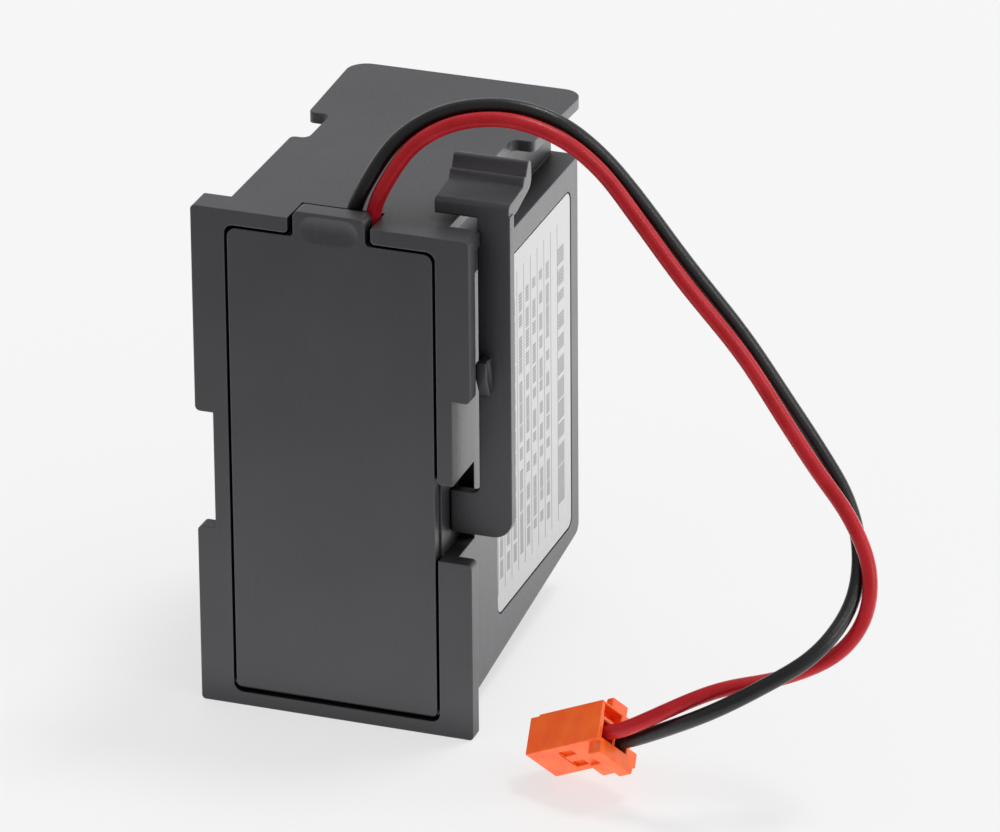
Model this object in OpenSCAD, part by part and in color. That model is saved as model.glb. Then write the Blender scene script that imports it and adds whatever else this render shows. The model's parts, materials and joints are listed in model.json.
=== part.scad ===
// Plug-in backup battery unit: a moulded case with a wide front flange, a hinged front cover, a
// springy release arm, a pack of two upright lithium cells, and two leads ending in a two-way plug.
// Frame: X to the right, Y from the flange's front face into the case, Z up from the flange's foot.

/* [Flange] */
// Width of the front flange
flange_w = 27.4; // [27:0.1:28]
// Height of the front flange, and of the whole case
flange_h = 51; // [50.8:0.1:51.4]
// Thickness of the flange at its sides
flange_t = 1.6; // [1.5:0.1:1.9]
// Depth of the thicker band along the flange's top edge
rim_depth = 3; // [2.6:0.1:3.4]

/* [Case] */
// Half width of the case walls at the flange
wall_x = 11.9; // [11.8:0.05:12.1]
// How much narrower each side wall stands at the back
draft = 0.3; // [0.1:0.05:0.4]
// Thickness of the side walls
wall = 1; // [0.8:0.05:1.1]
// Outer face of the rear wall
case_back = 36.2; // [36.2:0.1:37]
// Height of the shoulder where the walls end and the narrow neck begins
shoulder_z = 45; // [44.6:0.1:45.4]
// Half width of the neck under the top plate
neck_x = 9; // [8.8:0.05:9.2]
// Thickness of the top plate
plate_t = 1.1; // [1:0.05:1.3]
// Rear edge of the top plate
plate_back = 37.5; // [37.4:0.1:38]
// Rise of the case floor, in degrees
floor_slope = 6.8; // [6:0.1:7.2]

/* [Cover] */
// Width of the cover
cover_w = 20.2; // [20:0.1:20.4]
// Thickness of the cover
cover_t = 1.2; // [1.1:0.02:1.22]
// Gap between the cover and the edge of its opening
cover_gap = 0.3; // [0.25:0.05:0.4]
// Width of the finger tab
tab_w = 7.1; // [6.5:0.1:7.5]
// Height of the finger tab's top edge
tab_top = 51.8; // [51.4:0.1:52.2]
// Radius of the two pivot pins
pin_r = 0.42; // [0.38:0.01:0.44]
// Radial running clearance of the pivot pins
pin_clearance = 0.06; // [0.04:0.01:0.08]

/* [Release arm] */
// Front face of the arm
arm_y = 3.4; // [3.3:0.05:3.6]
// Thickness of the arm
arm_t = 1.1; // [0.9:0.05:1.2]
// Outer edge of the arm
arm_x = 16.5; // [16.2:0.1:16.8]
// Width of the arm's upright part
arm_w = 3.2; // [2.8:0.1:3.4]
// How far the catch tooth stands out in front of the arm
tooth_out = 1.4; // [1:0.1:1.4]

/* [Cells] */
// Radius of a cell's steel can
can_r = 8.2; // [8:0.05:8.2]
// Length of a cell over its end faces
cell_h = 33.5; // [33:0.1:33.5]
// Distance between the two cell axes
cell_pitch = 16.75; // [16.75:0.05:16.85]

/* [Leads and plug] */
// Radius of a lead over its insulation
lead_r = 0.75; // [0.6:0.05:0.76]
// Radius of a lead's copper core
core_r = 0.4; // [0.3:0.02:0.4]
// Length of the plug housing
plug_l = 8.6; // [8:0.1:9]
// Width of the plug housing
plug_w = 4.75; // [4.7:0.05:5]
// Height of the plug housing
plug_h = 4.05; // [4:0.05:4.3]
// Distance between the two contacts
plug_pitch = 2; // [1.95:0.05:2.05]

/* [Hidden] */
$fn = 48;
eps = 0.01;
far = 60;

case_grey = [0.23, 0.24, 0.26];
nickel = [0.78, 0.77, 0.72];
fibre = [0.80, 0.78, 0.70];

// Flange and its cut-outs
half_w = flange_w / 2;
open_x = cover_w / 2 + cover_gap;
open_low = 1.35;
open_top = 49.5;
open_r = 0.9;
recess_y = cover_t + 0.05;
throat_x = 9.7;
throat_y = 2.2;
throat_z = 3.6;
slot_x = 4.1;
slot_y = 3.85;
slot_r = 0.4;
tab_r = 0.5;
side_notch_low = 18.2;
side_notch_high = 30.1;
window_high = 26.1;
strip_high = 34.7;
window_x = 10.3;
window_y = 5.9;

// Case body
inner_back = case_back - 0.9;
neck_wall = 1;
plate_z = flange_h - plate_t;
floor_front = 0.1;
floor_t = 1;
heel_r = 4;
side_r = 1.6;
corner_r = 0.5;
draft_angle = atan(draft / case_back);

// Ribs inside the case
rib_t = 1;
rib_x = 5;
rib_front = 3;
rib_back = 33;
rib_sunk = 0.7;
side_rib_high = 40;

// Pack stack, from the support ribs upward
rib_top = 7;
sleeve_t = 0.1;
sheet_t = 0.2;
strip_t = 0.15;
gap = 0.05;
bottom_sheet_z = rib_top + gap + sleeve_t + gap;
series_z = bottom_sheet_z + sheet_t + gap;
cell_z = series_z + strip_t + gap;
top_strip_z = cell_z + cell_h + gap;
top_sheet_z = top_strip_z + strip_t + gap;
sleeve_low = rib_top + gap;
sleeve_high = top_sheet_z + sheet_t + gap + sleeve_t;
jacket_r = can_r + 0.12;
sleeve_r = jacket_r + 0.05 + sleeve_t;
front_y = recess_y + 0.12 + sleeve_r;
rear_y = front_y + cell_pitch;

// Cell details
can_t = 0.3;
lid_t = 0.5;
lid_hole_r = 2.6;
post_r = 1.8;
button_r = 3;
button_h = 0.9;

// Cover pivot
pivot_y = cover_t / 2;
pivot_z = 2.25;
cover_low = pivot_z - pivot_y;
cover_high = open_top - cover_gap;
cover_r = 0.9;
pin_out = 0.7;
foot_margin = 0.03;
tab_depth = 2.1;
tab_top_r = 0.6;
recess_z = 50.1;
recess_r = 3;
recess_sink = 0.3;
recess_half = 1.55;

// Release arm
root_x = window_x + 0.05;
root_low = 19.8;
root_high = 24.1;
root_r = 1.9;
fillet_r = 0.8;
grip_x = 9.1;
ledge_low = 52;
ledge_high = 53.6;
grip_top = 55.9;
tooth_x = 13.5;
tooth_w = 1.1;
tooth_low = 34.4;
tooth_tip = 0.4;
tooth_step = 36.4;
tooth_top = 38.1;

// Label on the right wall
label_front = 12.3;
label_back = 33.6;
label_low = 7.1;
label_high = 42.3;
label_r = 1;
label_cut_r = 2.1;
label_cut_z = 35.5;
pocket_depth = 0.15;
pocket_margin = 0.2;
label_t = 0.1;

// Plug: its own axes are x from mating end to wire end, y across the contacts, z up
plug_turn = [-50, -25.5, -10];
plug_at = [21.6, -7.6, 3.5];
wire_z = 1.3;
cavity = 1.7;
cavity_back = 1;
socket = 0.9;
barrel_r = 0.62;
hood_l = 0.85;
hood_z = 5;
hood_low_y = 1.4;
hood_high_y = 3.65;
end_recess_l = 1.2;
end_recess_low_y = 0.45;
end_recess_high_y = 2.9;
rail_l = 3.8;
rail_y = 5.85;
rail_low = -0.35;
rail_high = 1.2;
foot_l = 1.5;
foot_low = -1.1;
lance_x = 3.2;
lance_l = 1.5;
lance_w = 1;
lance_t = 0.35;
step_h = 0.15;
core_in_plug = 4.6;

// Straight steps between two points of a lead's path, sides of its section, and steps left bare at its ends
path_steps = 3;
lead_sides = 12;
bare_steps = 2;
core_sides = 8;

function unit(v) = v / norm(v);

// A point on the curve that passes through b and c, with a and d as its outer neighbours
function curve_point(a, b, c, d, t) =
    0.5 * (2 * b + (c - a) * t + (2 * a - 5 * b + 4 * c - d) * t * t
    + (3 * b - a - 3 * c + d) * t * t * t);

function smooth_path(p, steps) = [
    for (i = [0 : len(p) - 2]) for (k = [0 : steps - 1])
        curve_point(p[max(i - 1, 0)], p[i], p[i + 1], p[min(i + 2, len(p) - 1)], k / steps),
    p[len(p) - 1]];

function heading(p, i) = unit(p[min(i + 1, len(p) - 1)] - p[max(i - 1, 0)]);

function across(v, t) = unit(v - (v * t) * t);

// Side vectors carried along a path with no twist
function side_vectors(p, first) = [
    for (i = 0, s = across(first, heading(p, 0)); i < len(p);
         i = i + 1, s = i < len(p) ? across(s, heading(p, i)) : s) s];

function ring(p, s, t, r, sides) = [
    for (k = [0 : sides - 1]) p + r * cos(360 * k / sides) * s + r * sin(360 * k / sides) * cross(t, s)];

function rings(p, r, sides) = let (s = side_vectors(p, [0.2, 0.1, 1])) [
    for (i = [0 : len(p) - 1]) each ring(p[i], s[i], heading(p, i), r, sides)];

function wall_faces(count, sides, base, flip) = [
    for (i = [0 : count - 2]) for (k = [0 : sides - 1])
        let (a = base + i * sides + k, b = base + i * sides + (k + 1) % sides)
            each flip ? [[a, b, b + sides], [a, b + sides, a + sides]]
                      : [[a, b + sides, b], [a, a + sides, b + sides]]];

// Solid round rod along a path
module rod(p, r, sides) {
    last = (len(p) - 1) * sides;
    polyhedron(rings(p, r, sides), concat(
        wall_faces(len(p), sides, 0, false),
        [[for (k = [0 : sides - 1]) k]],
        [[for (k = [sides - 1 : -1 : 0]) last + k]]));
}

// Hollow round sleeve along a path
module hose(p, r_out, r_in, sides) {
    base = len(p) * sides;
    last = (len(p) - 1) * sides;
    polyhedron(concat(rings(p, r_out, sides), rings(p, r_in, sides)), concat(
        wall_faces(len(p), sides, 0, false),
        wall_faces(len(p), sides, base, true),
        [for (k = [0 : sides - 1]) let (n = (k + 1) % sides)
            each [[k, n, base + n], [k, base + n, base + k]]],
        [for (k = [0 : sides - 1]) let (n = (k + 1) % sides)
            each [[last + n, last + k, base + last + k], [last + n, base + last + k, base + last + n]]]));
}

// Turns a point of the plug's own axes into the frame of the whole part
function turn_x(v, a) = [v[0], v[1] * cos(a) - v[2] * sin(a), v[1] * sin(a) + v[2] * cos(a)];
function turn_y(v, a) = [v[0] * cos(a) + v[2] * sin(a), v[1], v[2] * cos(a) - v[0] * sin(a)];
function turn_z(v, a) = [v[0] * cos(a) - v[1] * sin(a), v[0] * sin(a) + v[1] * cos(a), v[2]];
function from_plug(v) =
    plug_at + turn_z(turn_y(turn_x(v, plug_turn[0]), plug_turn[1]), plug_turn[2]);

function wire_y(side) = plug_w / 2 + side * plug_pitch / 2;

// Paths of the two leads, from the strips on the pack, out of the slot, round and into the plug
strip_level = top_strip_z + strip_t;
red_start = [2.9, front_y - 0.3, strip_level + core_r + gap];
black_start = [0.4, rear_y - 5, strip_level + core_r + gap];
red_loop = [
    [3, 6.6, 43.7], [3.2, 3.9, 45], [3.2, 3.05, 48.2], [3.3, 3.05, 51.3], [4.4, 3.2, 54.2], [6.8, 4.2, 58],
    [10.7, 5.2, 60.4], [15.6, 6.3, 60.9], [20.3, 7.1, 59.3], [23.8, 7.9, 56.3], [26.8, 8.5, 52.2],
    [31.6, 8.7, 45.9], [37.1, 8.8, 39.6], [41.6, 8, 33.8], [45.1, 7, 29.7], [48.6, 5.6, 26.3],
    [51.3, 3.5, 22.5], [51.8, 1, 18.7], [49.6, -0.8, 15.2], [45, -3, 13.1], [39.4, -5.9, 12.2]];
black_loop = [
    [0.4, 18, 43.4], [0.5, 12, 43.6], [0.8, 5.4, 43.9], [1, 3.4, 45.8], [1, 3.05, 48.6], [1.4, 3.05, 51.3],
    [2.7, 3.4, 54.4], [5.1, 4.9, 58.2], [9.2, 6.3, 60.9], [14.5, 7.6, 61.7], [19.3, 8.6, 60.4],
    [23.2, 9.5, 57.3], [26.7, 10.2, 53], [31.3, 10.5, 47], [36.6, 10.8, 40.6], [41.1, 10.4, 34.7],
    [44.5, 9.8, 30.4], [47.6, 8.4, 26.6], [49.7, 5.6, 22.8], [50.3, 1.2, 19.4], [48.6, -4, 16.6],
    [44.2, -6.7, 13.7], [39.2, -7.7, 10.6]];

function lead_path(start, loop, side, end_x) = smooth_path(concat(
    [start], loop,
    [from_plug([plug_l + 2.6, wire_y(side), wire_z]), from_plug([plug_l, wire_y(side), wire_z]),
     from_plug([end_x, wire_y(side), wire_z])]), path_steps);

module rounded_rect(x0, x1, z0, z1, r) {
    translate([x0 + r, z0]) square([x1 - x0 - 2 * r, z1 - z0]);
    translate([x0, z0 + r]) square([x1 - x0, z1 - z0 - 2 * r]);
    for (x = [x0 + r, x1 - r]) for (z = [z0 + r, z1 - r]) translate([x, z]) circle(r);
}

// Extrudes an outline drawn in X and Z through the depths y0 to y1
module through_y(y0, y1) {
    translate([0, y1, 0]) rotate([90, 0, 0]) linear_extrude(y1 - y0) children();
}

// Extrudes an outline drawn in Y and Z through the widths x0 to x1
module through_x(x0, x1) {
    translate([x0, 0, 0]) rotate([90, 0, 90]) linear_extrude(x1 - x0) children();
}

module block(low, high) {
    translate(low) cube(high - low);
}

function arc(centre, r, from, to, steps) = [
    for (k = [0 : steps]) let (a = from + (to - from) * k / steps) centre + r * [cos(a), sin(a)]];

function floor_z(y) = floor_front + y * tan(floor_slope);

// Side view of the case, shrunk by inset on every side
module side_profile(y0, y1, top, inset) {
    low = inset > 0 ? inset / cos(floor_slope) : 0;
    r = heel_r - inset;
    heel_y = y1 - r;
    heel_z = floor_z(heel_y + r * sin(floor_slope)) + low + r * cos(floor_slope);
    polygon(concat([[y0, top], [y0, floor_z(y0) + low]],
                   arc([heel_y, heel_z], r, -90 + floor_slope, 0, 6), [[y1, top]]));
}

// Plan view of the case walls, shrunk by inset
module wall_plan(y0, y1, inset, r) {
    front = wall_x - draft * y0 / case_back - inset;
    back = wall_x - draft * y1 / case_back - inset;
    polygon(concat([[-front, y0], [front, y0]],
                   arc([back - r, y1 - r], r, 0, 90, 5), arc([r - back, y1 - r], r, 90, 180, 5)));
}

module case_shell() {
    difference() {
        intersection() {
            linear_extrude(shoulder_z) wall_plan(1, case_back, 0, corner_r);
            through_x(-far, far) side_profile(1, case_back, shoulder_z, 0);
        }
        intersection() {
            translate([0, 0, eps]) linear_extrude(shoulder_z - wall) wall_plan(0.5, inner_back, wall, 0.8);
            through_x(-far, far) side_profile(0.5, inner_back, shoulder_z - wall, floor_t);
        }
        for (side = [0, 1]) mirror([side, 0, 0]) lower_edge_cut();
    }
}

// Rounds the lower long edge of the case
module lower_edge_cut() {
    translate([wall_x, 2.3, floor_z(2.3)]) rotate([floor_slope, 0, draft_angle]) difference() {
        translate([-side_r, 0, -1]) cube([side_r + 1, far, side_r + 1]);
        translate([-side_r, -1, side_r]) rotate([-90, 0, 0]) cylinder(r = side_r, h = far + 2);
    }
}

module flange_outline() {
    difference() {
        rounded_rect(-half_w, half_w, 0, flange_h, 0.4);
        translate([-half_w - 1, side_notch_low]) square([half_w - wall_x + 1, side_notch_high - side_notch_low]);
        translate([wall_x, side_notch_low]) square([far, strip_high - side_notch_low]);
        translate([window_x, side_notch_low]) square([far, window_high - side_notch_low]);
        for (side = [-1, 1]) corner_cut(side * half_w, side_notch_low, side, 1, tab_r);
        corner_cut(-half_w, side_notch_high, -1, -1, tab_r);
        corner_cut(half_w, strip_high, 1, -1, tab_r);
    }
}

// What lies outside a round of radius r at a corner; side is 1 for a right-hand corner, way is 1 for an upper one
module corner_cut(x, z, side, way, r) {
    translate([x, z]) scale([side, way]) difference() {
        translate([-r, -r]) square(2 * r);
        translate([-r, -r]) circle(r);
    }
}

// A fillet of radius r in an inner corner, on the same two signs
module corner_fill(x, z, side, way, r) {
    translate([x, z]) scale([side, way]) difference() {
        square(r);
        translate([r, r]) circle(r);
    }
}

// Outline of the top plate, with a half-round-cornered notch on each side
module plate_half() {
    front_x = 10.75;
    middle_x = 11.35;
    rear_x = 11.75;
    notch_x = 9.1;
    notch_front = 18.3;
    notch_back = 24.3;
    r = 0.8;
    rear_r = 2;
    polygon(concat(
        [[0, 1], [front_x, 1]],
        arc([front_x - 0.5, notch_front - 0.5], 0.5, 0, 90, 3),
        arc([notch_x + r, notch_front + r], r, 270, 180, 5),
        arc([notch_x + r, notch_back - r], r, 180, 90, 5),
        arc([middle_x - 0.5, notch_back + 0.5], 0.5, 270, 360, 3),
        arc([rear_x - rear_r, plate_back - rear_r], rear_r, 0, 90, 8),
        [[0, plate_back]]));
}

module top_plate() {
    for (side = [0, 1]) mirror([side, 0, 0]) translate([0, 0, plate_z]) linear_extrude(plate_t) plate_half();
}

// Pocket round the latch arm's root, closed towards the pack
module window_pocket() {
    block([window_x - 1, recess_y, side_notch_low - 1], [wall_x - 0.2, window_y + 1, window_high + 1]);
}

// Ribs that hold the pack at its sides and carry it from below
module inner_ribs() {
    inner_x = sleeve_r + 0.1;
    outer_x = wall_x - wall;
    for (side = [0, 1]) mirror([side, 0, 0]) for (y = [front_y, (front_y + rear_y) / 2, rear_y])
        block([inner_x, y - rib_t / 2, rib_top + 2], [outer_x, y + rib_t / 2, side_rib_high]);
    for (x = [-rib_x, rib_x]) through_x(x - rib_t / 2, x + rib_t / 2)
        polygon([[rib_front, rib_top], [rib_front, floor_z(rib_front) + rib_sunk],
                 [rib_back, floor_z(rib_back) + rib_sunk], [rib_back, rib_top]]);
}

module label_pocket() {
    through_plane_of_wall(pocket_depth, 1) rounded_rect(
        label_front - pocket_margin, label_back + pocket_margin,
        label_low - pocket_margin, label_high + pocket_margin, label_r + pocket_margin);
}

// Extrudes an outline drawn in Y and Z, from depth inside the right wall's face to lift outside it
module through_plane_of_wall(depth, lift) {
    translate([wall_x, 0, 0]) rotate([0, 0, draft_angle]) through_x(-depth, lift) children();
}

module case_body() {
    color(case_grey) difference() {
        union() {
            case_shell();
            through_y(0, flange_t) flange_outline();
            intersection() {
                through_y(0, throat_y) flange_outline();
                block([0.5 - wall_x, 0, 0.4], [wall_x - 0.5, throat_y, plate_z + 0.2]);
            }
            intersection() {
                through_y(0, rim_depth) flange_outline();
                block([-half_w, 0, open_top], [half_w, rim_depth, flange_h]);
            }
            block([-neck_x, 1, shoulder_z - wall], [neck_x, case_back - 0.6, plate_z + 0.2]);
            top_plate();
            window_pocket();
            inner_ribs();
        }
        through_y(-1, recess_y) rounded_rect(-open_x, open_x, open_low, open_top, open_r);
        block([-throat_x, 0, throat_z], [throat_x, throat_y + 0.1, shoulder_z - wall]);
        block([-open_x, 0, open_low + open_r], [window_x, throat_y + 0.1, throat_z + eps]);
        block([-throat_x, 0, open_low + 0.1], [throat_x, throat_y + 0.1, throat_z + eps]);
        block([neck_wall - neck_x, 0.5, shoulder_z - wall - 0.5],
              [neck_x - neck_wall, inner_back - 0.7, plate_z]);
        block([-slot_x, -1, open_top - 1], [slot_x, slot_y, flange_h + 1]);
        through_y(-1, slot_y) for (side = [-1, 1]) corner_cut(side * slot_x, open_top, -side, -1, slot_r);
        through_y(-1, recess_y) corner_cut(open_x, window_high, -1, -1, slot_r);
        block([window_x, -1, side_notch_low], [far, window_y, window_high]);
        label_pocket();
        translate([-open_x - pin_out - 0.1, pivot_y, pivot_z]) rotate([0, 90, 0])
            cylinder(r = pin_r + pin_clearance, h = 2 * (open_x + pin_out + 0.1));
    }
}

module front_cover() {
    tab_x = tab_w / 2;
    color(case_grey) difference() {
        union() {
            difference() {
                through_y(0, cover_t)
                    rounded_rect(-cover_w / 2, cover_w / 2, cover_low, cover_high, cover_r);
                foot_round();
            }
            through_y(0, tab_depth) rounded_rect(-tab_x, tab_x, cover_high - 1.5, tab_top, tab_top_r);
            through_y(0, cover_t) for (side = [-1, 1]) corner_fill(side * tab_x, cover_high, side, 1, slot_r);
            translate([-cover_w / 2 - pin_out, pivot_y, pivot_z]) rotate([0, 90, 0])
                cylinder(r = pin_r, h = cover_w + 2 * pin_out);
        }
        finger_recess();
    }
}

// Shallow hollow in the tab's front, with round ends
module finger_recess() {
    translate([0, recess_sink - recess_r, recess_z]) {
        translate([-recess_half, 0, 0]) rotate([0, 90, 0]) cylinder(r = recess_r, h = 2 * recess_half);
        for (x = [-recess_half, recess_half]) translate([x, 0, 0]) sphere(recess_r);
    }
}

// Takes the corners off the cover's foot, so that it turns about its pins without touching the opening
module foot_round() {
    difference() {
        block([-far, -1, 0], [far, cover_t + 1, pivot_z]);
        translate([-far, pivot_y, pivot_z]) rotate([0, 90, 0]) cylinder(r = pivot_y + foot_margin, h = 2 * far);
    }
}

// Upright part and root of the arm, seen from the front
module arm_outline() {
    inner_x = arm_x - arm_w;
    polygon(concat(
        [[root_x, root_high], [root_x, root_low]],
        arc([arm_x - root_r, root_low + root_r], root_r, -90, 0, 8),
        [[arm_x, ledge_low + 0.5], [inner_x, ledge_low + 0.5]],
        arc([inner_x - fillet_r, root_high + fillet_r], fillet_r, 0, -90, 5)));
}

// Thumb grip seen from the side: ledge, concave riser with two ridges, and a rising underside
module grip_profile() {
    back = arm_y + 6.2;
    polygon(concat(
        arc([arm_y + 0.5, ledge_high - 0.5], 0.5, 180, 95, 4),
        [[arm_y + 3.9, ledge_high + 0.35]],
        arc([arm_y + 4.5, ledge_high + 0.75], 0.4, 150, 60, 4),
        [[arm_y + 4.9, ledge_high + 1.5]],
        arc([arm_y + 5.6, grip_top - 0.5], 0.5, 175, 10, 6),
        arc([back - 1.2, ledge_high + 0.6], 1.2, 0, -75, 5),
        [[arm_y + arm_t + 1.2, ledge_low + 0.2], [arm_y, ledge_low]]));
}

module tooth_profile() {
    root = arm_y + 0.2;
    front = arm_y - tooth_out;
    polygon([[root, tooth_low], [arm_y - tooth_tip, tooth_low], [front, tooth_step], [front, tooth_top],
             [root, tooth_top]]);
}

module latch_arm() {
    color(case_grey) union() {
        through_y(arm_y, arm_y + arm_t) arm_outline();
        through_x(grip_x, arm_x - 0.1) grip_profile();
        through_x(tooth_x, tooth_x + tooth_w) tooth_profile();
    }
}

module rating_label() {
    color("whitesmoke") through_plane_of_wall(pocket_depth - 0.02, label_t + 0.02 - pocket_depth) difference() {
        rounded_rect(label_front, label_back, label_low, label_high, label_r);
        translate([label_front, label_cut_z]) circle(label_cut_r);
    }
}

// Outline round both cells
module pack_outline(r) {
    for (y = [front_y, rear_y]) translate([0, y]) circle(r);
    translate([-r, front_y]) square([2 * r, cell_pitch]);
}

module pack_sleeve() {
    color([0.16, 0.30, 0.52]) difference() {
        translate([0, 0, sleeve_low]) linear_extrude(sleeve_high - sleeve_low) pack_outline(sleeve_r);
        translate([0, 0, sleeve_low + sleeve_t]) linear_extrude(sleeve_high - sleeve_low - 2 * sleeve_t)
            pack_outline(sleeve_r - sleeve_t);
        translate([0, 0, sleeve_low - 1]) linear_extrude(sleeve_high - sleeve_low + 2) pack_outline(sleeve_r - 1.2);
    }
}

module top_insulator() {
    color(fibre) translate([0, 0, top_sheet_z]) linear_extrude(sheet_t) difference() {
        pack_outline(jacket_r - 0.2);
        translate([-1.5, front_y - 2.5]) square([6, 5]);
        translate([-2, rear_y - 8]) square([5, 5]);
        translate([2.1, -1]) square([1.8, front_y]);
    }
}

module bottom_insulator() {
    color(fibre) translate([0, 0, bottom_sheet_z]) linear_extrude(sheet_t) pack_outline(jacket_r - 0.2);
}

module strip(y0, y1, z, width) {
    color(nickel) translate([0, 0, z]) linear_extrude(strip_t)
        rounded_rect(-width / 2, width / 2, y0, y1, 0.6);
}

module series_tab() strip(front_y - 3, rear_y + 3, series_z, 5);
module positive_tab() {
    color(nickel) translate([0, 0, top_strip_z]) linear_extrude(strip_t)
        rounded_rect(-2, 4, front_y - 2, front_y + 2, 0.6);
}
module negative_tab() strip(rear_y - 7.5, rear_y + 3, top_strip_z, 4);

// Places a cell's pieces, drawn with the terminal upward; the rear cell stands upside down
module at_front_cell() {
    translate([0, front_y, cell_z]) children();
}
module at_rear_cell() {
    translate([0, rear_y, cell_z + cell_h]) mirror([0, 0, 1]) children();
}

module can() {
    color([0.72, 0.73, 0.75]) difference() {
        cylinder(r = can_r, h = cell_h - button_h);
        translate([0, 0, 0.35]) cylinder(r = can_r - can_t, h = cell_h);
    }
}

module core() {
    color([0.30, 0.30, 0.33]) translate([0, 0, 0.8]) difference() {
        cylinder(r = can_r - can_t - 0.1, h = cell_h - 5);
        translate([0, 0, -1]) cylinder(r = 1.4, h = cell_h);
    }
}

module lid() {
    color([0.75, 0.76, 0.78]) translate([0, 0, cell_h - button_h - lid_t - 0.4]) difference() {
        cylinder(r = can_r - can_t - 0.02, h = lid_t);
        translate([0, 0, -1]) cylinder(r = lid_hole_r, h = lid_t + 2);
    }
}

module gasket() {
    low = cell_h - button_h - lid_t - 0.4;
    color([0.12, 0.12, 0.13]) difference() {
        union() {
            translate([0, 0, low - 0.4]) cylinder(r = lid_hole_r - 0.02, h = lid_t + 0.6);
            translate([0, 0, low - 0.4]) cylinder(r = lid_hole_r + 0.8, h = 0.38);
            translate([0, 0, low + lid_t + 0.02]) cylinder(r = button_r + 0.6, h = 0.25);
        }
        translate([0, 0, low - 2]) cylinder(r = post_r + 0.02, h = 5);
    }
}

module terminal() {
    low = cell_h - button_h - lid_t - 0.4;
    flat = low + lid_t + 0.3;
    color([0.80, 0.80, 0.80]) {
        translate([0, 0, low - 0.8]) cylinder(r = post_r, h = 2);
        translate([0, 0, flat]) cylinder(r = button_r, h = cell_h - flat);
    }
}

module jacket(tint) {
    color(tint) difference() {
        cylinder(r = jacket_r, h = cell_h - button_h + 0.12);
        translate([0, 0, -1]) cylinder(r = can_r + 0.02, h = cell_h + 2);
    }
}

module front_cell_can() at_front_cell() can();
module front_cell_core() at_front_cell() core();
module front_cell_lid() at_front_cell() lid();
module front_cell_gasket() at_front_cell() gasket();
module front_cell_terminal() at_front_cell() terminal();
module front_cell_jacket() at_front_cell() jacket([0.85, 0.82, 0.30]);
module rear_cell_can() at_rear_cell() can();
module rear_cell_core() at_rear_cell() core();
module rear_cell_lid() at_rear_cell() lid();
module rear_cell_gasket() at_rear_cell() gasket();
module rear_cell_terminal() at_rear_cell() terminal();
module rear_cell_jacket() at_rear_cell() jacket([0.85, 0.82, 0.30]);

// A drop of solder over each conductor's bare end
module solder_joints() {
    color([0.70, 0.71, 0.73]) difference() {
        for (start = [red_start, black_start]) translate([start[0], start[1] + 0.1, strip_level + eps])
            intersection() {
                translate([0, 0, -0.2]) sphere(r = 1.15);
                cylinder(r = 2, h = 2);
            }
        for (side = [-1, 1]) rod(bare_path(side), core_r + 0.02, core_sides);
    }
}

// Straight stretch that takes a conductor's bare end out of the solder
function bare_path(side) = let (p = side < 0 ? red_full : black_full) [
    p[0] - (p[1] - p[0]), for (i = [0 : path_steps]) p[i]];

red_full = lead_path(red_start, red_loop, -1, core_in_plug);
black_full = lead_path(black_start, black_loop, 1, core_in_plug);

// The insulation stops a few steps short of the conductor at both ends
function insulated(p) = [for (i = [bare_steps : len(p) - bare_steps - 1]) p[i]];

module lead(full, tint) {
    color(tint) hose(insulated(full), lead_r, core_r + 0.06, lead_sides);
}

module red_lead() lead(red_full, [0.80, 0.12, 0.16]);
module black_lead() lead(black_full, [0.10, 0.10, 0.11]);
module red_conductor() color([0.80, 0.50, 0.28]) rod(red_full, core_r, core_sides);
module black_conductor() color([0.80, 0.50, 0.28]) rod(black_full, core_r, core_sides);

module in_plug_frame() {
    translate(plug_at) rotate(plug_turn) children();
}

module plug_housing() {
    color([0.98, 0.50, 0.25]) in_plug_frame() difference() {
        union() {
            cube([plug_l, plug_w, plug_h]);
            block([plug_l - hood_l, hood_low_y, plug_h - 1], [plug_l, hood_high_y, hood_z]);
            block([plug_l - rail_l, plug_w - 1, rail_low], [plug_l, rail_y, rail_high]);
            block([plug_l - foot_l, 0.6, foot_low], [plug_l, rail_y - 0.35, 0.4]);
        }
        for (side = [-1, 1]) translate([0, wire_y(side), wire_z]) {
            translate([cavity_back, -cavity / 2, -cavity / 2]) cube([plug_l, cavity, cavity]);
            translate([-1, -socket / 2, -socket / 2]) cube([3, socket, socket]);
            block([lance_x, -lance_w / 2, -wire_z - 1], [lance_x + lance_l, lance_w / 2, lance_t - wire_z]);
        }
        block([plug_l - end_recess_l, end_recess_low_y, wire_z + cavity / 2 + 0.4],
              [plug_l + 1, end_recess_high_y, plug_h - 0.25]);
        block([-1, -1, plug_h - step_h], [1, plug_w + 1, plug_h + 1]);
        block([lance_x - 0.1, wire_y(-1), -1], [lance_x + 0.05, wire_y(1), step_h]);
    }
}

module plug_contact() {
    color([0.85, 0.72, 0.42]) difference() {
        union() {
            translate([1.2, -0.72, -0.72]) cube([2.6, 1.44, 1.44]);
            translate([3.7, 0, 0]) rotate([0, 90, 0]) cylinder(r = barrel_r, h = 2);
        }
        translate([1, -0.5, -0.5]) cube([2.4, 1, 1]);
        translate([3, 0, 0]) rotate([0, 90, 0]) cylinder(r = core_r + 0.04, h = 4);
    }
}

module plug_contacts() {
    in_plug_frame() for (side = [-1, 1]) translate([0, wire_y(side), wire_z]) plug_contact();
}

case_body();
front_cover();
latch_arm();
rating_label();
pack_sleeve();
top_insulator();
bottom_insulator();
series_tab();
positive_tab();
negative_tab();
front_cell_can();
front_cell_core();
front_cell_lid();
front_cell_gasket();
front_cell_terminal();
front_cell_jacket();
rear_cell_can();
rear_cell_core();
rear_cell_lid();
rear_cell_gasket();
rear_cell_terminal();
rear_cell_jacket();
solder_joints();
red_lead();
red_conductor();
black_lead();
black_conductor();
plug_housing();
plug_contacts();
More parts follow.
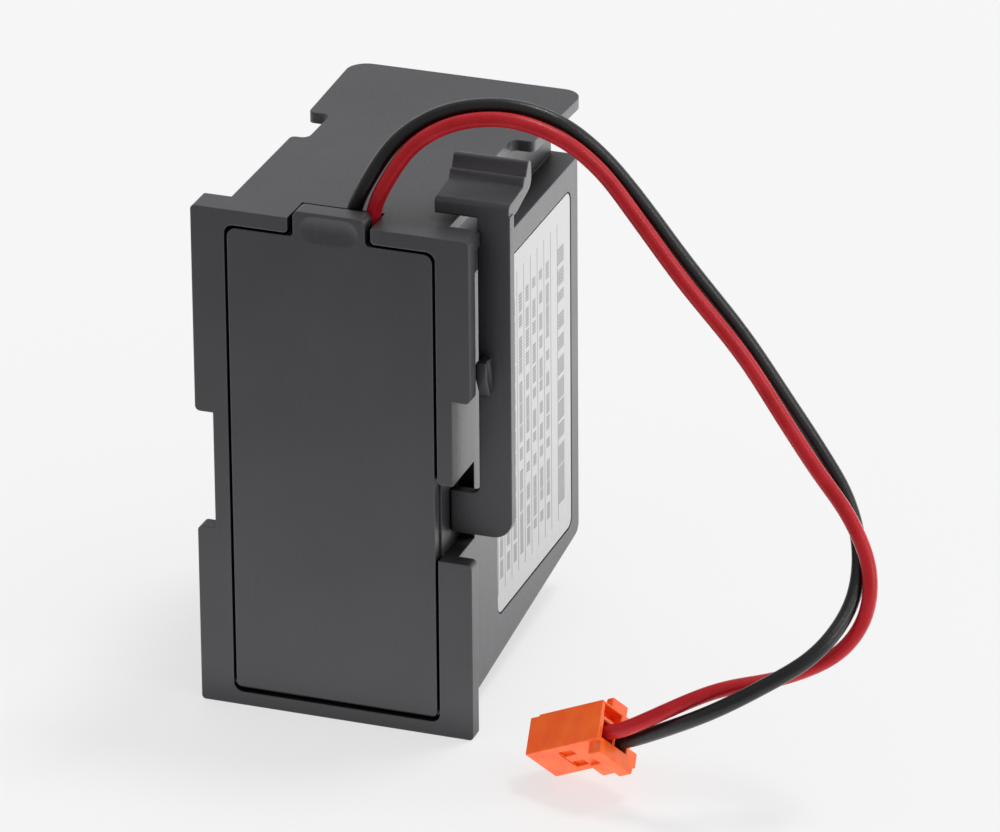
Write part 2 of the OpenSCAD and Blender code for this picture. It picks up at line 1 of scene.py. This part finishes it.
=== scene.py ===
"""Looks of the plug-in backup battery unit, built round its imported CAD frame."""

import json
import math

import bmesh
import bpy
from mathutils import Matrix, Vector


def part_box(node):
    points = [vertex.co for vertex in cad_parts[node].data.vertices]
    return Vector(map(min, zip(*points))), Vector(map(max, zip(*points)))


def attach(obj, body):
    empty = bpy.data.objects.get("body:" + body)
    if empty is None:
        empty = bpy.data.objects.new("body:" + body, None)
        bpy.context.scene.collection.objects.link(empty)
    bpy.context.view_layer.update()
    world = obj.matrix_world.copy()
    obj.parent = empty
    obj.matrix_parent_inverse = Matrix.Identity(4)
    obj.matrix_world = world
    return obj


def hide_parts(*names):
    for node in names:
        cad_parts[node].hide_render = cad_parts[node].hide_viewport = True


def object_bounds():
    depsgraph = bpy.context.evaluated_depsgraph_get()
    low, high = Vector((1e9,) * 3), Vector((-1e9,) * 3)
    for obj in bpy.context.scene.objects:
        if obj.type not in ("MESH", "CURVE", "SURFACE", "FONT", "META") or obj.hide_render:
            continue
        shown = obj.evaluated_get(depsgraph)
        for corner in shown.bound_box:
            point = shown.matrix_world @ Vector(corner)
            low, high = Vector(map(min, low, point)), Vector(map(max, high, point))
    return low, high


MM = 0.001
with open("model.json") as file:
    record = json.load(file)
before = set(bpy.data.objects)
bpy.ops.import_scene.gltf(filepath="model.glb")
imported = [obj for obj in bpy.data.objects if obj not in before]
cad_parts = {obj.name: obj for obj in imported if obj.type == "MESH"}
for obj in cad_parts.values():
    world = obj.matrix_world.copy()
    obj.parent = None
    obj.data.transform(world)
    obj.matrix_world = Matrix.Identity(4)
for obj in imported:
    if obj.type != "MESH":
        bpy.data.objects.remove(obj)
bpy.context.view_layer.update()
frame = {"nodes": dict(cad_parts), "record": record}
NODES = frame["nodes"]
BODY_OF = {node: body for body, nodes in frame["record"]["behaviour"]["bodies"].items() for node in nodes}
SLOT_OF = {part["node"]: part["material_slot"] for part in frame["record"]["subparts"]}

# The camera: its turn round the object, its height above the horizon, its roll, and the point it looks at
AZIMUTH, ELEVATION, ROLL = 20.12, 24.76, -0.46
DISTANCE = 771.6 * MM
LOOK_AT = Vector((0, 0, 25.5 * MM))
SHIFT_RIGHT, SHIFT_UP = 15.58 * MM, 5.49 * MM
LENS, SENSOR = 298.2, 36.0

# The world's light: its strength in front, and what it gains straight behind and to the right
LIGHT_BASE, LIGHT_BEHIND, LIGHT_RIGHT = 0.5, 0.4, 0.45

# The lamps: strength, how wide they are in degrees, and the way they come from
KEY_STRENGTH, KEY_SPREAD, KEY_FROM = 1.15, 14.0, (0.25, 0.30, 0.92)
GLOSS_STRENGTH, GLOSS_SPREAD, GLOSS_FROM = 0.6, 22.0, (0.85, 0.0, 0.52)

# The floor: half its side in metres, its tone, the share of the tone that glows, and the glow the object sees,
# painted light standing in for what the floor throws back, in millimetres from the origin: full near the front
# and none far off, more to the right once it is behind
FLOOR_HALF = 3.0
FLOOR_TONE = 0.90
FLOOR_GLOW = 0.7
FRONT_DARK_NEAR, FRONT_DARK_FAR, FRONT_GAIN = -20, -110, 1.75
RIGHT_NEAR, RIGHT_FAR, RIGHT_GAIN = 14, 34, 1.05
BEHIND_NEAR, BEHIND_FAR = 12, 40

# Rounding: vertices closer than WELD are one, and edges that turn by more than SHARP degrees are rounded.
# A line of edges carries on while the cosine between its two arms stays under STRAIGHT_ON. Corners closer to an
# edge than NEARLY_ON lie on it. A width takes SHARE_OF_ROOM at most, and is left out under LEAST_ROUND.
WELD = 0.025
SHARP = 35.0
STRAIGHT_ON = -0.85
NEARLY_ON = 0.02
SHARE_OF_ROOM = 0.36
LEAST_ROUND = 0.04

# How far a moulding's crevices reach before they count as open, for the painted shade that darkens them
PAINTED_SHADE_REACH = 6.0


# ---------------------------------------------------------------- shader helpers

class Shader:
    """A node tree under construction: add() makes a node, and an input takes a number, colour or socket."""

    def __init__(self, name):
        self.material = bpy.data.materials.new(name)
        self.material.use_nodes = True
        self.tree = self.material.node_tree
        self.tree.nodes.clear()

    def add(self, kind, settings=None, **inputs):
        made = self.tree.nodes.new("ShaderNode" + kind)
        for key, value in (settings or {}).items():
            setattr(made, key, value)
        for key, value in inputs.items():
            self.feed(made, key, value)
        return made

    def feed(self, node, key, value):
        by_number = key[0] == "i" and key[1:].isdigit()
        socket = node.inputs[int(key[1:]) if by_number else key.replace("_", " ")]
        if isinstance(value, bpy.types.NodeSocket):
            self.tree.links.new(value, socket)
        elif isinstance(value, bpy.types.Node):
            self.tree.links.new(value.outputs[0], socket)
        elif hasattr(socket.default_value, "__len__") and isinstance(value, tuple) and len(value) == 3:
            full = value + (1.0,) * (len(socket.default_value) - 3)
            socket.default_value = full
        else:
            socket.default_value = value

    def math(self, operation, a, b=0.0, c=0.0, clamp=False):
        return self.add("Math", {"operation": operation, "use_clamp": clamp}, i0=a, i1=b, i2=c).outputs[0]

    def place(self, scale=(1.0, 1.0, 1.0), turn=(0.0, 0.0, 0.0)):
        """The object's own coordinates in millimetres, stretched by scale."""
        where = self.add("TexCoord").outputs["Object"]
        millimetres = tuple(1000.0 * s for s in scale)
        return self.add("Mapping", Vector=where, Scale=millimetres, Rotation=turn).outputs[0]

    def noise(self, where, scale, detail=2.0, roughness=0.5):
        return self.add("TexNoise", Vector=where, Scale=scale, Detail=detail, Roughness=roughness).outputs[0]

    def ramp(self, value, low, high, to_low=0.0, to_high=1.0):
        return self.add("MapRange", {"clamp": True}, Value=value, From_Min=low, From_Max=high,
                        To_Min=to_low, To_Max=to_high).outputs[0]

    def mix_numbers(self, share, a, b):
        """Number a where share is 0, and number b where it is 1."""
        return self.math("ADD", a, self.math("MULTIPLY", share, b - a))

    def mix(self, share, a, b):
        made = self.add("Mix", {"data_type": "RGBA"})
        self.feed(made, "i0", share)
        self.feed(made, "i6", a)
        self.feed(made, "i7", b)
        return made.outputs[2]

    def bump(self, height, strength, distance, normal=None):
        made = self.add("Bump", Height=height, Strength=strength, Distance=distance * MM)
        if normal is not None:
            self.feed(made, "Normal", normal)
        return made.outputs[0]

    def soft_edges(self, radius):
        """A surface normal that turns smoothly round sharp edges."""
        return self.add("Bevel", {"samples": 6}, Radius=radius * MM).outputs[0]

    def finish(self, **inputs):
        surface = self.add("BsdfPrincipled", **inputs)
        output = self.add("OutputMaterial")
        self.tree.links.new(surface.outputs[0], output.inputs[0])
        return self.material


def rounded_edge_mask(shader, radius, normal_turn=0.9):
    """A mask that is 1 on rounded edges and 0 on flat faces."""
    flat = shader.add("NewGeometry").outputs["Normal"]
    facing = shader.add("VectorMath", {"operation": "DOT_PRODUCT"}, i0=shader.soft_edges(radius), i1=flat)
    return shader.ramp(facing.outputs["Value"], 0.995, normal_turn)


# ---------------------------------------------------------------- materials

def moulded_plastic(name, tone):
    """Dark moulded plastic: fine grain, faint flow streaks, soft edges with a painted highlight along them, and
    painted shade darkening its crevices.
    """
    s = Shader(name)
    where = s.place()
    grain = s.noise(where, 5.5, 3.0, 0.6)
    speck = s.noise(where, 14.0, 1.0, 0.5)
    streaks = s.noise(s.place((3.2, 3.2, 0.12)), 1.6, 3.0, 0.55)
    clouds = s.noise(where, 0.09, 2.0)
    dark = tuple(tone * v for v in (0.88, 0.87, 0.98))
    light = tuple(tone * v for v in (1.20, 1.19, 1.36))
    mixed = s.math("ADD", s.math("MULTIPLY", streaks, 0.45), s.math("MULTIPLY", clouds, 0.55))
    colour = s.mix(s.ramp(mixed, 0.35, 0.65), dark, light)
    colour = s.mix(s.ramp(speck, 0.55, 0.75, 0.0, 0.35), colour, tuple(tone * v for v in (2.4, 2.4, 2.5)))
    # Painted highlight: rounded edges made lighter, broken up by the grain, for light caught along them
    edge_highlight = s.math("MULTIPLY", rounded_edge_mask(s, 0.2), s.ramp(grain, 0.3, 0.7, 0.3, 0.75))
    colour = s.mix(edge_highlight, colour, tuple(tone * v for v in (3.3, 3.3, 3.5)))
    # Painted shade: crevices found by ambient occlusion are darkened towards near-black
    painted_shade_ao = s.add("AmbientOcclusion", {"samples": 6}, Distance=PAINTED_SHADE_REACH * MM).outputs["AO"]
    lit = s.ramp(painted_shade_ao, 0.12, 0.8, 0.0, 1.0)
    colour = s.mix(lit, (0.0015, 0.0015, 0.0017), colour)
    rough = s.math("ADD", s.ramp(grain, 0.3, 0.7, 0.42, 0.52), s.ramp(streaks, 0.3, 0.7, -0.02, 0.04))
    height = s.math("ADD", s.math("MULTIPLY", grain, 0.7), s.math("MULTIPLY", speck, 0.3))
    normal = s.bump(height, 0.28, 0.035, s.soft_edges(0.2))
    # The specular is cut down in the painted crevice shade too
    return s.finish(Base_Color=colour, Roughness=rough, Normal=normal,
                    Specular_IOR_Level=s.math("MULTIPLY", lit, 0.58))


def wire_insulation(name, tone, sheen_tone, rough, shine):
    """Soft PVC: slightly uneven gloss, fine pitted skin, dust specks."""
    s = Shader(name)
    where = s.place()
    cloud = s.noise(where, 0.35, 3.0)
    speck = s.noise(where, 7.0, 2.0, 0.7)
    pits = s.noise(where, 3.2, 3.0, 0.65)
    colour = s.mix(s.ramp(cloud, 0.35, 0.7), tone, sheen_tone)
    dust = tuple(min(1.0, 0.10 + 1.6 * v) for v in sheen_tone)
    colour = s.mix(s.ramp(speck, 0.68, 0.78, 0.0, 0.4), colour, dust)
    dull = s.ramp(speck, 0.3, 0.8, rough - 0.05, rough + 0.08)
    roughness = s.math("ADD", dull, s.ramp(cloud, 0.3, 0.7, 0.0, 0.05))
    return s.finish(Base_Color=colour, Roughness=roughness, Specular_IOR_Level=shine,
                    Normal=s.bump(s.math("ADD", pits, s.math("MULTIPLY", speck, 0.5)), 0.7, 0.035))


def orange_plastic():
    """Translucent-looking orange nylon with sink marks and softened edges."""
    s = Shader("orange_nylon")
    where = s.place()
    cloud = s.noise(where, 0.5, 2.0)
    grain = s.noise(where, 6.0, 2.0)
    colour = s.mix(s.ramp(cloud, 0.3, 0.7), (0.92, 0.09, 0.001), (0.97, 0.14, 0.004))
    colour = s.mix(s.math("MULTIPLY", rounded_edge_mask(s, 0.25), 0.5), colour, (1.0, 0.20, 0.03))
    return s.finish(Base_Color=colour, Roughness=s.ramp(grain, 0.3, 0.7, 0.38, 0.5),
                    Normal=s.bump(grain, 0.12, 0.03, s.soft_edges(0.12)),
                    Subsurface_Weight=0.15, Subsurface_Scale=0.8 * MM, Subsurface_Radius=(1.0, 0.35, 0.1))


def metal(name, tone, rough, stretch=(1.0, 1.0, 1.0)):
    """Rolled or drawn metal with fine marks along one direction."""
    s = Shader(name)
    marks = s.noise(s.place(stretch), 2.5, 4.0, 0.6)
    stain = s.noise(s.place(), 0.4, 2.0)
    colour = s.mix(s.ramp(stain, 0.35, 0.75), tone, tuple(0.78 * v for v in tone))
    roughness = s.ramp(marks, 0.3, 0.7, rough - 0.06, rough + 0.1)
    return s.finish(Base_Color=colour, Metallic=1.0, Roughness=roughness, Normal=s.bump(marks, 0.2, 0.01))


def film(name, tone, rough):
    """Thin shrink film, with faint wrinkles."""
    s = Shader(name)
    wrinkles = s.noise(s.place((1.0, 1.0, 0.3)), 0.9, 3.0, 0.6)
    cloud = s.noise(s.place(), 0.2, 2.0)
    colour = s.mix(s.ramp(cloud, 0.3, 0.7), tone, tuple(1.25 * v for v in tone))
    return s.finish(Base_Color=colour, Roughness=s.ramp(wrinkles, 0.3, 0.7, rough, rough + 0.12),
                    Normal=s.bump(wrinkles, 0.3, 0.05), Coat_Weight=0.3, Coat_Roughness=0.15)


def fibre():
    """Pressed fibre sheet."""
    s = Shader("fibre_board")
    threads = s.noise(s.place((0.6, 3.0, 3.0)), 1.6, 5.0, 0.7)
    colour = s.mix(s.ramp(threads, 0.3, 0.7), (0.55, 0.50, 0.36), (0.70, 0.66, 0.52))
    return s.finish(Base_Color=colour, Roughness=0.85, Normal=s.bump(threads, 0.4, 0.03))


def electrode():
    """Dark wound electrode, with rings seen on its ends."""
    s = Shader("electrode_winding")
    kind = {"wave_type": "RINGS", "rings_direction": "Z"}
    rings = s.add("TexWave", kind, Vector=s.place(), Scale=1.3).outputs[0]
    colour = s.mix(rings, (0.03, 0.03, 0.035), (0.30, 0.31, 0.33))
    return s.finish(Base_Color=colour, Roughness=0.5, Metallic=0.4)


def label_ink(s):
    """The ink on the label: thin rules down its length, and rows of grey bars broken up like words."""
    pitch, first, rule_half, margin = 1.93, 0.2, 0.09, 2.0
    last_ruled, empty, wide = 9.1, 8.0, 9.0
    bar_half, wide_bar_half, word, letter = 0.45, 0.9, 2.3, 0.34
    start, end = 4.6, 3.4

    low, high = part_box("rating_label")
    where = s.add("SeparateXYZ", i0=s.add("TexCoord").outputs["Object"])
    across = s.math("MULTIPLY", s.math("SUBTRACT", where.outputs["Y"], low.y), 1000.0)
    below_top = s.math("MULTIPLY", s.math("SUBTRACT", high.z, where.outputs["Z"]), 1000.0)
    above_foot = s.math("MULTIPLY", s.math("SUBTRACT", where.outputs["Z"], low.z), 1000.0)

    row = s.math("DIVIDE", s.math("SUBTRACT", across, first), pitch)
    number = s.math("FLOOR", row)
    in_row = s.math("MULTIPLY", s.math("FRACT", row), pitch)
    from_rule = s.math("MINIMUM", in_row, s.math("SUBTRACT", pitch, in_row))
    inside = s.math("GREATER_THAN", s.math("MINIMUM", below_top, above_foot), margin)
    in_table = s.math("LESS_THAN", across, first + last_ruled * pitch)
    rules = s.math("MULTIPLY", s.math("LESS_THAN", from_rule, rule_half), s.math("MULTIPLY", inside, in_table))

    place = s.math("DIVIDE", below_top, word)
    seed = s.add("CombineXYZ", X=number, Y=s.math("FLOOR", place))
    chance = s.add("TexWhiteNoise", {"noise_dimensions": "3D"}, Vector=seed).outputs["Value"]
    bars = s.math("LESS_THAN", s.math("FRACT", place), s.ramp(chance, 0.1, 0.9, 0.45, 0.97))
    half = s.mix_numbers(s.math("COMPARE", number, wide, 0.1), bar_half, wide_bar_half)
    off_middle = s.math("ABSOLUTE", s.math("SUBTRACT", in_row, pitch / 2))
    bars = s.math("MULTIPLY", bars, s.math("LESS_THAN", off_middle, half))
    bars = s.math("MULTIPLY", bars, s.math("GREATER_THAN", below_top, start))
    bars = s.math("MULTIPLY", bars, s.math("GREATER_THAN", above_foot, end))
    bars = s.math("MULTIPLY", bars, s.math("SUBTRACT", 1.0, s.math("COMPARE", number, empty, 0.1)))
    bars = s.math("MULTIPLY", bars, s.math("LESS_THAN", number, wide + 0.5))
    in_letter = s.math("LESS_THAN", s.math("FRACT", s.math("DIVIDE", below_top, letter)), 0.55)
    bars = s.math("MULTIPLY", bars, s.mix_numbers(in_letter, 0.45, 1.0))
    return s.math("MAXIMUM", s.math("MULTIPLY", bars, 0.88), s.math("MULTIPLY", rules, 0.8))


def label_paper():
    """Silver-white label paper, with plain marks where the print would be."""
    s = Shader("label_print")
    grain = s.noise(s.place(), 1.2, 3.0)
    fleck = s.noise(s.place(), 9.0, 2.0, 0.6)
    paper = s.mix(s.ramp(grain, 0.35, 0.65), (0.31, 0.31, 0.315), (0.36, 0.36, 0.365))
    paper = s.mix(s.ramp(fleck, 0.3, 0.7, 0.0, 0.12), paper, (0.48, 0.48, 0.49))
    colour = s.mix(label_ink(s), paper, (0.06, 0.06, 0.065))
    return s.finish(Base_Color=colour, Roughness=s.ramp(grain, 0.3, 0.7, 0.34, 0.46),
                    Normal=s.bump(grain, 0.08, 0.02))


def build_materials():
    return {
        "charcoal_plastic": moulded_plastic("charcoal_moulding", 0.033),
        "label_film": label_paper(),
        "shrink_film": film("blue_shrink_film", (0.03, 0.09, 0.25), 0.22),
        "cell_jacket_film": film("yellow_cell_film", (0.50, 0.44, 0.08), 0.25),
        "fibre_sheet": fibre(),
        "nickel_strip": metal("nickel_strip_metal", (0.62, 0.60, 0.55), 0.28, (1.0, 0.15, 1.0)),
        "can_steel": metal("can_steel_metal", (0.55, 0.56, 0.58), 0.24, (1.0, 1.0, 0.1)),
        "electrode_roll": electrode(),
        "seal_plastic": moulded_plastic("seal_moulding", 0.02),
        "solder": metal("solder_metal", (0.66, 0.67, 0.69), 0.2),
        "red_insulation": wire_insulation("red_pvc", (0.40, 0.005, 0.010), (0.48, 0.012, 0.020), 0.30, 0.25),
        "black_insulation": wire_insulation("black_pvc", (0.0025,) * 3, (0.006,) * 3, 0.30, 0.38),
        "copper_strands": metal("copper_metal", (0.70, 0.33, 0.18), 0.3, (0.2, 1.0, 1.0)),
        "orange_plastic": orange_plastic(),
        "contact_metal": metal("contact_tin", (0.72, 0.63, 0.42), 0.26),
    }


# ---------------------------------------------------------------- pieces

def dress(obj, slot):
    """Gives obj the one material of its slot."""
    obj.data.materials.clear()
    obj.data.materials.append(MATERIALS[slot])


def welded_mesh(node, name):
    """A copy of a CAD node's mesh with its flat faces joined up again."""
    bm = bmesh.new()
    bm.from_mesh(NODES[node].data)
    bmesh.ops.remove_doubles(bm, verts=bm.verts, dist=WELD * MM)
    bmesh.ops.dissolve_degenerate(bm, edges=bm.edges, dist=WELD * MM / 10)
    bmesh.ops.dissolve_limit(bm, angle_limit=math.radians(0.6), verts=bm.verts, edges=bm.edges)
    mesh = bpy.data.meshes.new(name)
    bm.to_mesh(mesh)
    bm.free()
    return mesh


def stand_in(node, mesh, name):
    """Links a new piece in place of a CAD node, on the same body and with the same finish."""
    obj = bpy.data.objects.new(name, mesh)
    bpy.context.scene.collection.objects.link(obj)
    dress(obj, SLOT_OF[node])
    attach(obj, BODY_OF[node])
    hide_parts(node)
    return obj


def room_on_face(edge, face):
    """How far the face reaches, square to the edge, before a corner comes within a 45 degree cone."""
    start, end = (v.co for v in edge.verts)
    length = edge.calc_length()
    along = (end - start) / length
    room = face.calc_area() / length
    for vert in face.verts:
        offset = vert.co - start
        forward = offset.dot(along)
        aside = (offset - along * forward).length
        beyond = max(-forward, forward - length, 0.0)
        if aside > NEARLY_ON * MM and beyond < aside:
            room = min(room, aside)
    return room


def goes_straight_on(edge, other, vert):
    """True where other carries on from edge at vert with hardly a bend."""
    onward = (edge.other_vert(vert).co - vert.co).normalized()
    away = (other.other_vert(vert).co - vert.co).normalized()
    return away.dot(onward) < STRAIGHT_ON


def room_at_end(edge, vert):
    """The shortest edge that leaves vert to the side."""
    others = [e for e in vert.link_edges if e is not edge]
    return min((e.calc_length() for e in others if not goes_straight_on(edge, e, vert)), default=1.0)


def edge_lines(sharp):
    """Groups sharp edges into lines that carry on with hardly a bend."""
    waiting = dict.fromkeys(sharp)
    while waiting:
        line = [waiting.popitem()[0]]
        for edge in line:
            for vert in edge.verts:
                for other in vert.link_edges:
                    if other in waiting and goes_straight_on(edge, other, vert):
                        del waiting[other]
                        line.append(other)
        yield line


def round_widths(bm, width):
    """The rounding width of each line of sharp edges: as asked for, or what its tightest spot has room for."""
    sharp = [e for e in bm.edges if e.is_convex and e.calc_face_angle(0.0) > math.radians(SHARP)]
    widths = {}
    for line in edge_lines(sharp):
        rooms = [room_on_face(e, face) for e in line for face in e.link_faces]
        rooms += [room_at_end(e, vert) for e in line for vert in e.verts]
        wanted = min(width, SHARE_OF_ROOM * min(rooms))
        widths.update((e, wanted if wanted > LEAST_ROUND * MM else 0.0) for e in line)
    return widths


def rounded(node, name, width, crease=SHARP, segments=2):
    """The CAD node's shape with its sharp edges rounded, as a moulding's are, and creases left crisp."""
    mesh = welded_mesh(node, name)
    bm = bmesh.new()
    bm.from_mesh(mesh)
    for face in bm.faces:
        face.smooth = True
    weight = bm.edges.layers.float.new("bevel_weight_edge")
    widths = round_widths(bm, width * MM)
    for edge in bm.edges:
        edge[weight] = widths.get(edge, 0.0) / (width * MM)
        if edge[weight] == 0.0 and edge.is_manifold and edge.calc_face_angle() > math.radians(crease):
            edge.smooth = False
    bm.to_mesh(mesh)
    bm.free()
    obj = stand_in(node, mesh, name)
    bevel = obj.modifiers.new("rounding", "BEVEL")
    bevel.width = width * MM
    bevel.segments = segments
    bevel.limit_method = "WEIGHT"
    bevel.use_clamp_overlap = False
    smooth = obj.modifiers.new("normals", "WEIGHTED_NORMAL")
    smooth.keep_sharp = True
    return obj


def round_lead(node, name):
    """The lead's section made round: its CAD faces joined into quads and subdivided."""
    same_spot, loose = 0.002 * MM, math.radians(60)
    bm = bmesh.new()
    bm.from_mesh(NODES[node].data)
    bmesh.ops.remove_doubles(bm, verts=bm.verts, dist=same_spot)
    bmesh.ops.join_triangles(bm, faces=bm.faces, angle_face_threshold=loose, angle_shape_threshold=loose)
    mesh = bpy.data.meshes.new(name)
    bm.to_mesh(mesh)
    bm.free()
    obj = stand_in(node, mesh, name)
    for face in obj.data.polygons:
        face.use_smooth = True
    rounding = obj.modifiers.new("rounding", "SUBSURF")
    rounding.levels = rounding.render_levels = 2
    return obj


# ---------------------------------------------------------------- stage

def make_camera():
    a, e, r = (math.radians(v) for v in (AZIMUTH, ELEVATION, ROLL))
    back = Vector((math.sin(a) * math.cos(e), -math.cos(a) * math.cos(e), math.sin(e)))
    level = Vector((math.cos(a), math.sin(a), 0))
    rise = back.cross(level)
    right = level * math.cos(r) + rise * math.sin(r)
    up = rise * math.cos(r) - level * math.sin(r)
    data = bpy.data.cameras.new("camera")
    data.lens, data.sensor_width = LENS, SENSOR
    data.clip_start, data.clip_end = 0.05, 20
    camera = bpy.data.objects.new("camera", data)
    bpy.context.scene.collection.objects.link(camera)
    camera.location = LOOK_AT + right * SHIFT_RIGHT + up * SHIFT_UP + back * DISTANCE
    camera.rotation_mode = "QUATERNION"
    camera.rotation_quaternion = Matrix((right, up, back)).transposed().to_quaternion()
    bpy.context.scene.camera = camera


def make_floor():
    """A plain pale floor that partly glows. The glow the object sees, painted light standing in for what the
    floor throws back, is stronger at the right and falls off far in front, where the camera stands."""
    bm = bmesh.new()
    bmesh.ops.create_grid(bm, x_segments=24, y_segments=24, size=FLOOR_HALF)
    mesh = bpy.data.meshes.new("studio_floor")
    bm.to_mesh(mesh)
    bm.free()
    floor = bpy.data.objects.new("studio_floor", mesh)
    bpy.context.scene.collection.objects.link(floor)
    low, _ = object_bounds()
    floor.location.z = low.z - 0.02 * MM
    s = Shader("pale_floor")
    grain = s.noise(s.place(), 0.02, 2.0)
    dull = (1 - FLOOR_GLOW) * FLOOR_TONE
    tone = s.mix(grain, (dull,) * 3, (dull + 0.005,) * 3)
    where = s.add("SeparateXYZ", i0=s.add("TexCoord").outputs["Object"])
    front = s.ramp(where.outputs["Y"], FRONT_DARK_FAR * MM, FRONT_DARK_NEAR * MM, 0.0, FRONT_GAIN)
    right = s.ramp(where.outputs["X"], RIGHT_NEAR * MM, RIGHT_FAR * MM, 0.0, RIGHT_GAIN)
    behind = s.ramp(where.outputs["Y"], BEHIND_NEAR * MM, BEHIND_FAR * MM)
    # Painted light: the floor's glow towards the object, stronger to the right once behind and falling off far
    # in front
    painted_bounce = s.math("MULTIPLY", front, s.math("ADD", s.math("MULTIPLY", right, behind), 1.0))
    seen = s.add("LightPath").outputs["Is Camera Ray"]
    glow = s.math("ADD", seen, s.math("MULTIPLY", s.math("SUBTRACT", 1.0, seen), painted_bounce))
    floor.data.materials.append(s.finish(
        Base_Color=tone, Roughness=0.9, Specular_IOR_Level=0.0, Emission_Color=(1.0, 1.0, 1.0),
        Emission_Strength=s.math("MULTIPLY", glow, FLOOR_GLOW * FLOOR_TONE)))


def make_world():
    """Soft studio light from all round: strongest from behind and the right, weakest from the camera's side."""
    world = bpy.data.worlds.new("studio")
    world.use_nodes = True
    bpy.context.scene.world = world
    tree = world.node_tree
    tree.nodes.clear()

    def calculate(operation, a, b):
        node = tree.nodes.new("ShaderNodeMath")
        node.operation = operation
        for socket, value in zip(node.inputs, (a, b)):
            if isinstance(value, bpy.types.NodeSocket):
                tree.links.new(value, socket)
            else:
                socket.default_value = value
        return node.outputs[0]

    way = tree.nodes.new("ShaderNodeTexCoord").outputs["Generated"]
    split = tree.nodes.new("ShaderNodeSeparateXYZ")
    tree.links.new(way, split.inputs[0])
    to_right, to_back, to_top = split.outputs
    behind = calculate("POWER", calculate("MULTIPLY", calculate("ADD", to_back, 1.0), 0.5), 1.5)
    strength = calculate("ADD", LIGHT_BASE, calculate("MULTIPLY", behind, LIGHT_BEHIND))
    right = calculate("MULTIPLY", calculate("MAXIMUM", to_right, 0.0), LIGHT_RIGHT)
    strength = calculate("ADD", strength, right)
    background = tree.nodes.new("ShaderNodeBackground")
    background.inputs[0].default_value = (0.985, 0.99, 1.0, 1)
    tree.links.new(strength, background.inputs[1])
    output = tree.nodes.new("ShaderNodeOutputWorld")
    tree.links.new(background.outputs[0], output.inputs[0])
    view = bpy.context.scene.view_settings
    view.view_transform = "Standard"
    view.look = "None"


def make_lamp(name, strength, spread, comes_from):
    """A soft lamp, far away."""
    data = bpy.data.lights.new(name, "SUN")
    data.energy = strength
    data.angle = math.radians(spread)
    lamp = bpy.data.objects.new(name, data)
    bpy.context.scene.collection.objects.link(lamp)
    lamp.rotation_mode = "QUATERNION"
    lamp.rotation_quaternion = Vector(comes_from).to_track_quat("Z", "Y")
    return lamp


def make_stage():
    make_world()
    make_lamp("key", KEY_STRENGTH, KEY_SPREAD, KEY_FROM)
    gloss = make_lamp("gloss", GLOSS_STRENGTH, GLOSS_SPREAD, GLOSS_FROM)
    gloss.visible_diffuse = False
    make_floor()
    make_camera()


MATERIALS = build_materials()
for cad_name, cad_object in NODES.items():
    dress(cad_object, SLOT_OF[cad_name])

rounded("front_cover", "cover_moulding", 0.3, crease=12.0)
rounded("latch_arm", "arm_moulding", 0.2)
rounded("plug_housing", "plug_moulding", 0.14)
round_lead("red_lead", "red_lead_round")
round_lead("black_lead", "black_lead_round")

make_stage()
